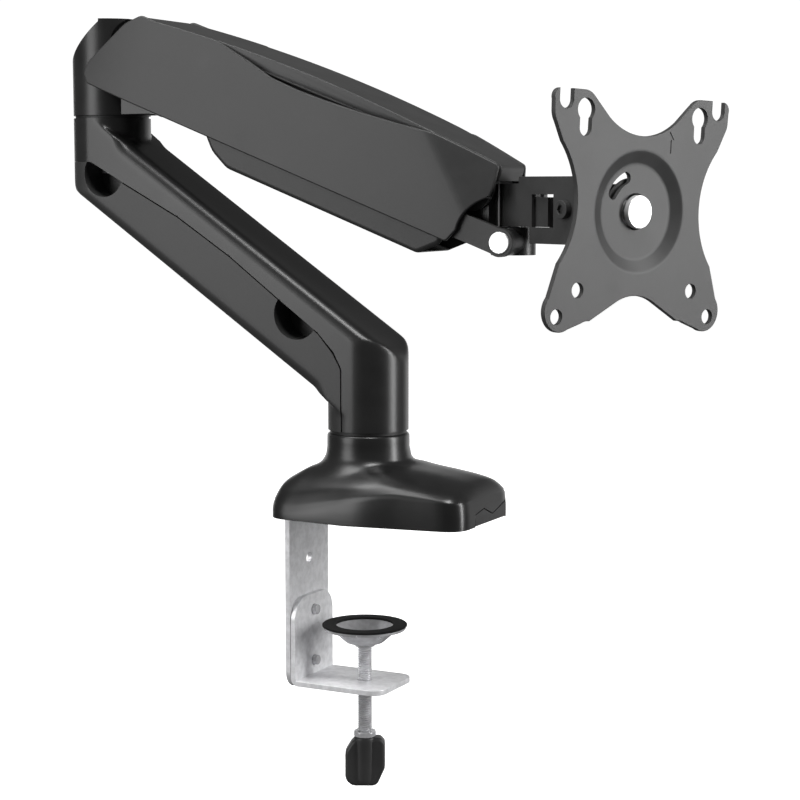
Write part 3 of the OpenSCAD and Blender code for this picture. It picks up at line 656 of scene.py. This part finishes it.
def clamp_screw():
    steps = int((SCREW_TOP - SCREW_FOOT) / THREAD_PITCH * THREAD_STEPS)
    n = len(THREAD)
    verts, faces = [], []
    for i in range(steps + 1):
        a = 2 * math.pi * i / THREAD_STEPS
        z = SCREW_FOOT + THREAD_PITCH * i / THREAD_STEPS
        for f, r in THREAD:
            verts.append((SCREW_X + r * math.cos(a), r * math.sin(a), z + f * THREAD_PITCH))
    for i in range(steps):
        for k in range(n - 1):
            faces.append((i * n + k, (i + 1) * n + k, (i + 1) * n + k + 1, i * n + k + 1))
    for i in range(steps - THREAD_STEPS):
        j = i + THREAD_STEPS
        faces.append((i * n + n - 1, (i + 1) * n + n - 1, (j + 1) * n, j * n))
    obj = build("threaded_clamp_screw", verts, faces)
    core = turned("core", ((SCREW_FOOT, 3.25), (SCREW_TOP + 1.0, 3.25)))
    cap = turned("cap", ((PAD_TOP - 8.3, 5.0), (PAD_TOP - 8.2, 5.6), (PAD_TOP - 7.1, 5.6),
                         (PAD_TOP - 6.7, 5.2), (PAD_TOP - 6.7, 2.0)))
    low = turned("low", ((PAD_TOP - 12.4, 5.2), (PAD_TOP - 12.0, 5.6), (PAD_TOP - 10.6, 5.6),
                         (PAD_TOP - 10.5, 5.2)))
    join(obj, [core, cap, low])
    smooth(obj, 50)
    settle(obj, "clamp_screw")


def dished_ring(name, profile, node_name):
    """A ring about the screw's axis; its profile is (radius, height over the pad's top)."""
    spokes = []
    for i in range(96):
        a = 2 * math.pi * i / 96
        spokes.append([(SCREW_X + r * math.cos(a), r * math.sin(a), PAD_TOP + z) for r, z in profile])
    obj = wheel(name, spokes)
    smooth(obj, 45)
    settle(obj, node_name)


def clamp_pad():
    dished_ring("dished_pad",
                [(4.1, -10.4), (8, -10.4), (10, -10), (11.6, -8.8), (16.6, -4.2), (18.4, -3.1), (22.3, -2.7),
                 (22.5, -2.4), (22.5, -1.2), (15.9, -1.2), (15.3, -1.8), (9.8, -7.4), (8.6, -8.2),
                 (4.1, -8.4)], "clamp_pad")
    dished_ring("pad_rubber_ring",
                [(15.7, -1.2), (22.8, -1.2), (23.2, -0.9), (23.2, -0.25), (22.9, 0), (15.9, 0),
                 (15.6, -0.3)], "clamp_pad_ring")


def clamp_knob():
    outline = rounded([(-10.8, -150), (6.5, -150), (11, -140), (11, -125.5), (8.5, -122.8), (-6.6, -124),
                       (-10.8, -131)], [6, 4, 5, 3, 3, 4, 6], 10)
    place = Matrix.Translation((SCREW_X, 0, 0)) @ turn("Z", 27)
    obj = slab("wing_knob", outline, -4.6, 4.6, 1.9, place, steps=5)
    hub = turned("hub", ((-149.2, 3.5), (-148.6, 5.2), (-146, 6.0), (-124.6, 6.2), (-123, 5.8),
                         (-122.65, 5.0)))
    boolean(obj, hub, "UNION")
    smooth(obj, 45)
    settle(obj, "clamp_knob")


# ---- display plate: x out of the plate, y right, z up; with its pressed dish and stamped arrow ----
PLATE_T = 2.6
DISH_EDGE = 30.0
OUTER_HOLE = 50.0  # half of the 100 mm pattern
INNER_HOLE = 37.5  # half of the 75 mm pattern
HOLE_R = 3.7
SLOT_FROM, SLOT_TO = 114, 152  # the curved slot in the dish, in degrees
SLOT_R = 17.25
SLOT_HALF = 2.85


def plate_outline():
    right = (arc(0, 71.8, 36, 270, 308, 14) + arc(38.5, 46.2, 9, 135, 95, 6)
             + [(45.9, 55.2), (45.9, 50)] + arc(50, 50, 4.1, 180, 360, 16) + [(54.1, 55)]
             + arc(53.6, 51, 4, 70, -20, 8) + arc(47.6, 45.2, 9.6, 0, -34, 6)
             + arc(84, 2.2, 43.7, 139, 219, 24) + arc(47.8, -47.4, 9.9, 40, -120, 24)
             + arc(29.8, -61.4, 9.4, 62, 95, 8) + arc(0, -66, 26, 62, 90, 12))
    return right + [(-y, z) for y, z in right[::-1]][1:-1]


def plug(outline, low, high):
    return build("plug", *loft([[(x, y, z) for y, z in outline] for x in (low, high)]), PLATE_FRAME)


def plate_sheet():
    """The flat sheet with its slots, holes and keyholes, and with the arrow stamped into it."""
    outline = plate_outline()
    if area(outline) < 0:
        outline = outline[::-1]
    levels = rims(-PLATE_T, 0, 0.4, 3)
    obj = build("display_plate", *loft([[(x, y, z) for y, z in inset(outline, d)] for x, d in levels]),
                PLATE_FRAME)
    cuts = [arc(0, 0, DISH_EDGE, 0, 357, 119)]
    for side in (-1, 1):
        cuts += [arc(side * d, -d, HOLE_R, 0, 352, 44) for d in (OUTER_HOLE, INNER_HOLE)]
        cuts.append([(side * INNER_HOLE + x, INNER_HOLE + z) for x, z in
                     arc(0, 8.6, 5.4, 226, -46, 30) + arc(0, 0, HOLE_R, 0, -180, 20)])
    for cut in cuts:
        boolean(obj, plug(cut, -9, 9))
    arrow = [(17.7 + y, 33.5 + z) for y, z in
             ((0, 5.4), (-2.9, 1.4), (-1.2, 1.4), (-1.2, -5), (1.2, -5), (1.2, 1.4), (2.9, 1.4))]
    boolean(obj, plug(arrow, -0.35, 1))
    bevel(obj, 0.3, 50)
    return obj


def plate_dish():
    """The pressed dish with its centre hole and its curved slot."""
    floor = -DISH
    back = floor - PLATE_T
    profile = [(DISH_EDGE, 0), (29.2, -0.03), (28.5, -0.25), (27.8, -0.6), (23.6, -2.5), (22.8, -2.8),
               (21.6, floor), (9.2, floor), (8.75, floor - 0.12), (8.6, floor - 0.5), (8.6, back),
               (22.0, back), (24.2, back + 0.4), (28.6, -PLATE_T - 0.2), (DISH_EDGE, -PLATE_T)]
    spokes = []
    for i in range(120):
        a = 2 * math.pi * i / 120
        spokes.append([(x, r * math.cos(a), r * math.sin(a)) for r, x in profile])
    obj = wheel("dish", spokes, PLATE_FRAME)
    ends = []
    for middle, first in ((SLOT_TO, SLOT_TO), (SLOT_FROM, SLOT_FROM + 180)):
        a = math.radians(middle)
        ends.append(arc(SLOT_R * math.cos(a), SLOT_R * math.sin(a), SLOT_HALF, first, first + 180, 10)[1:-1])
    boolean(obj, plug(arc(0, 0, SLOT_R + SLOT_HALF, SLOT_FROM, SLOT_TO, 10) + ends[0]
                      + arc(0, 0, SLOT_R - SLOT_HALF, SLOT_TO, SLOT_FROM, 10) + ends[1], -12, 12))
    return obj


def vesa_plate():
    obj = plate_sheet()
    join(obj, [plate_dish()])
    smooth(obj, 42)
    settle(obj, "vesa_plate")


# ---- CAD nodes whose shapes stay, with the width that their edges are broken by ----
EDGES = {"elbow_yoke": 1.2, "head_block": 1.0, "swivel_bracket": 0.35, "lower_link": 1.0,
         "tilt_knuckle": 0.7, "clamp_back_plate": 0.5, "clamp_jaw": 0.7, "base_cable_clip": 0.35,
         "front_link_pin": 0.5, "hub_rivet": 0.6, "jaw_screws": 0.4, "screw_collar": 0.4,
         "tilt_bolt": 0.35, "tilt_nut": 0.4, "arm_channel": 0.4, "gas_rod": 0.4}


def cad_pieces():
    for name, width in EDGES.items():
        refine(name, width)
    # the link's eye is chamfered on its inner rim, where the turned bracket comes closest
    link = bpy.data.objects["lower_link_finished"]
    relief = [[(x, y, z) for x, y in ((93.4, -19.4), (94.5, -20.5), (94.5, -19.4))] for z in (140, 156)]
    boolean(link, build("link_relief", *loft(relief)))
    smooth(link, 35)


lower_arm()
base_cover()
side_cover("near_side_cover", False)
side_cover("far_side_cover", True)
top_cover()
belly_cover()
clamp_screw()
clamp_pad()
clamp_knob()
vesa_plate()
cad_pieces()


# ---- floor, light and camera, in metres ----
FLOOR_Z = -0.17
VIEW = math.radians(27)
LOOK = Vector((-math.sin(VIEW), math.cos(VIEW), 0))
RIGHT = Vector((math.cos(VIEW), math.sin(VIEW), 0))
CENTRE = Vector((0, 0, 0.1))


def around(right, back, up):
    """A place round the arm, as seen from the camera: back is towards the camera."""
    return CENTRE + RIGHT * right - LOOK * back + Vector((0, 0, up))


def area_light(name, place, size, power):
    data = bpy.data.lights.new(name, "AREA")
    data.shape = "RECTANGLE"
    data.size, data.size_y = size
    data.energy = power
    obj = add(name, data)
    obj.location = place
    obj.rotation_euler = (CENTRE - place).to_track_quat("-Z", "Y").to_euler()
    return obj


def studio():
    """A pale floor, and a white surround that only shows as background."""
    mesh = bpy.data.meshes.new("studio_floor")
    side = 7.0
    mesh.from_pydata([(-side, -side, 0), (side, -side, 0), (side, side, 0), (-side, side, 0)], [],
                     [(0, 1, 2, 3)])
    floor = add("studio_floor", mesh)
    floor.location.z = FLOOR_Z
    pale = material("pale_floor", grey(0.9), grey(0.92), 0.95, specular=0.0, patch=2, grain=200,
                    depth=0.00001)
    shader = pale.node_tree.nodes["Principled BSDF"]
    shader.inputs["Emission Color"].default_value = (1, 1, 1, 1)
    shader.inputs["Emission Strength"].default_value = 0.9
    mesh.materials.append(pale)
    bm = bmesh.new()
    bmesh.ops.create_uvsphere(bm, u_segments=48, v_segments=24, radius=6.9)
    surround_mesh = bpy.data.meshes.new("studio_surround")
    bm.to_mesh(surround_mesh)
    bm.free()
    surround = add("studio_surround", surround_mesh)
    white = bpy.data.materials.new("white_surround")
    white.use_nodes = True
    glow = white.node_tree.nodes["Principled BSDF"]
    glow.inputs["Base Color"].default_value = (0, 0, 0, 1)
    glow.inputs["Specular IOR Level"].default_value = 0.0
    glow.inputs["Emission Color"].default_value = (1, 1, 1, 1)
    glow.inputs["Emission Strength"].default_value = 1.05
    surround_mesh.materials.append(white)
    for flag in ("visible_diffuse", "visible_glossy", "visible_transmission", "visible_shadow",
                 "visible_volume_scatter"):
        setattr(surround, flag, False)
    floor.visible_diffuse = False
    floor.visible_glossy = False


bpy.context.scene.view_settings.view_transform = "Standard"
studio()
world = bpy.data.worlds.new("studio_air")
bpy.context.scene.world = world
world.use_nodes = True
world.node_tree.nodes["Background"].inputs["Color"].default_value = (1, 1, 1, 1)
world.node_tree.nodes["Background"].inputs["Strength"].default_value = 0.12

area_light("left_softbox", around(-1.25, 0.75, 0.3), (0.7, 1.2), 11)
area_light("right_softbox", around(1.35, 0.35, 0.25), (0.3, 1.3), 18)
area_light("high_left_softbox", around(-0.7, 0.1, 1.3), (0.6, 0.6), 9)
area_light("overhead_softbox", around(0.1, 0.55, 1.25), (0.4, 0.4), 10)
area_light("back_softbox", around(0.2, -1.5, -0.1), (3.0, 0.8), 7).visible_camera = False

camera = add("camera", bpy.data.cameras.new("camera"))
camera.location = (0.48594, -0.91626, 0.17704)
camera.rotation_euler = (math.radians(90 - 6.29), 0, VIEW)
camera.data.lens = 87.3
camera.data.sensor_width = 36.0
camera.data.clip_end = 60
bpy.context.scene.camera = camera
